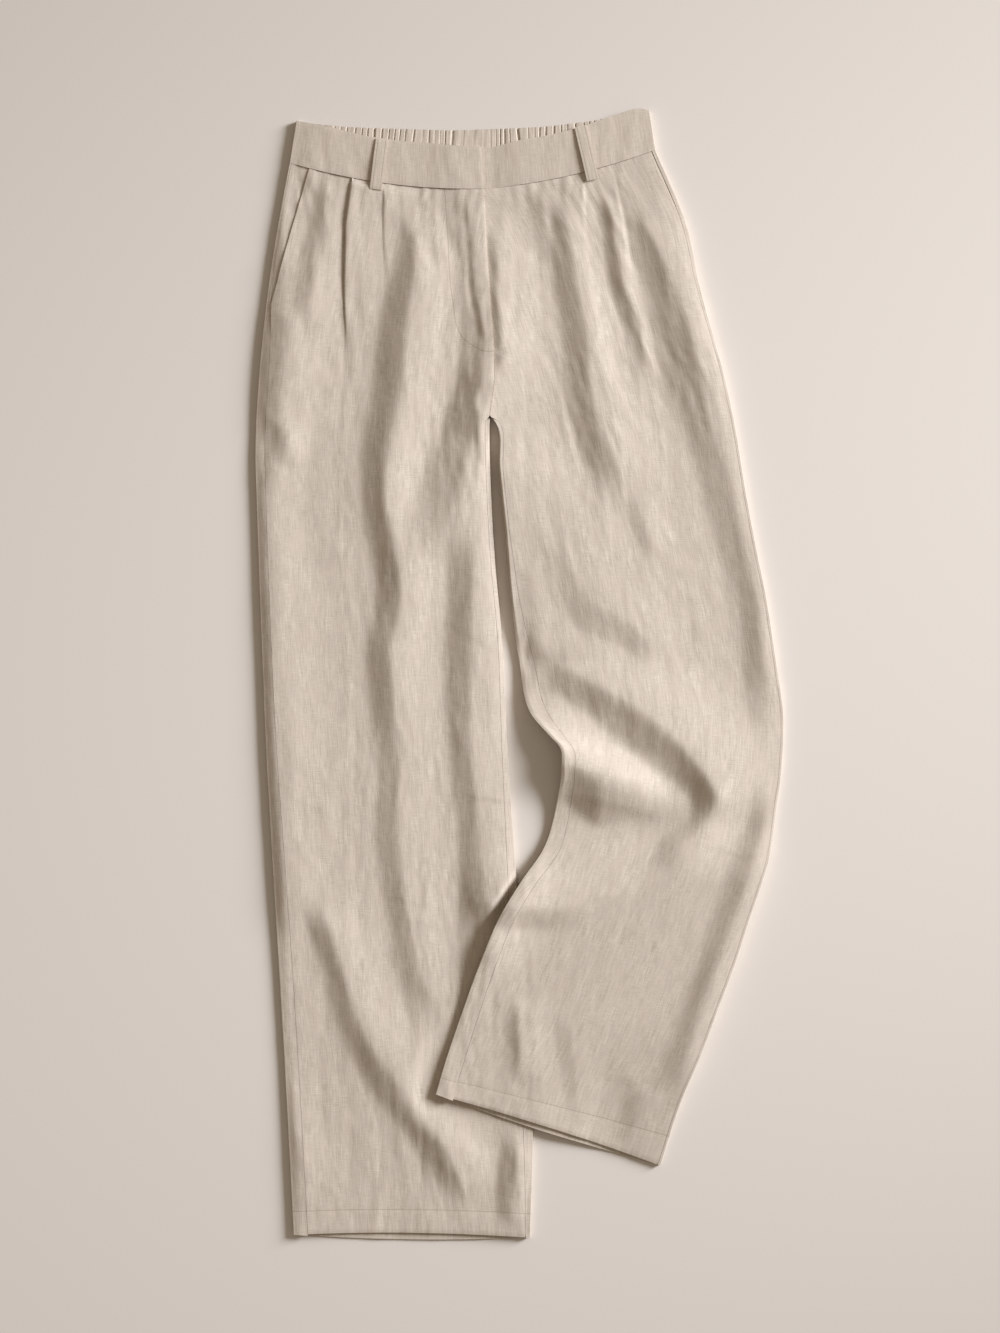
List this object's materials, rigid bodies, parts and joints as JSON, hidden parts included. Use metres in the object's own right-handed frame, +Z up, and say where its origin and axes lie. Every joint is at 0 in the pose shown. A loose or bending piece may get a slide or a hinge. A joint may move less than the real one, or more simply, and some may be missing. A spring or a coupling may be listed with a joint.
{
  "type": "pleated linen trousers",
  "caption": "Wide-legged pleated linen trousers laid flat, the left leg bent across the right, with belt loops, slant pockets and a gathered elastic back waistband.",
  "frame": {"origin": "middle of the laid garment's outline, on the surface that it lies on", "axes": "+Y towards the waist, along the legs; +X towards the wearer's left; +Z up from the surface, out of the fronts"},
  "size_m": [0.5, 1.0732, 0.0169],
  "materials": {
    "linen": "slubby plain-weave linen, matte, softly crumpled",
    "waistband_linen": "the same linen over interfacing, matte, smooth with topstitched edges"
  },
  "bodies": {
    "root": {"right_front": "linen", "left_front": "linen", "right_back": "linen", "left_back": "linen", "right_pocket_facing": "linen", "left_pocket_facing": "linen", "right_waistband": "waistband_linen", "left_waistband": "waistband_linen", "back_waistband": "waistband_linen", "right_belt_loop": "waistband_linen", "left_belt_loop": "waistband_linen"}
  },
  "joints": []
}
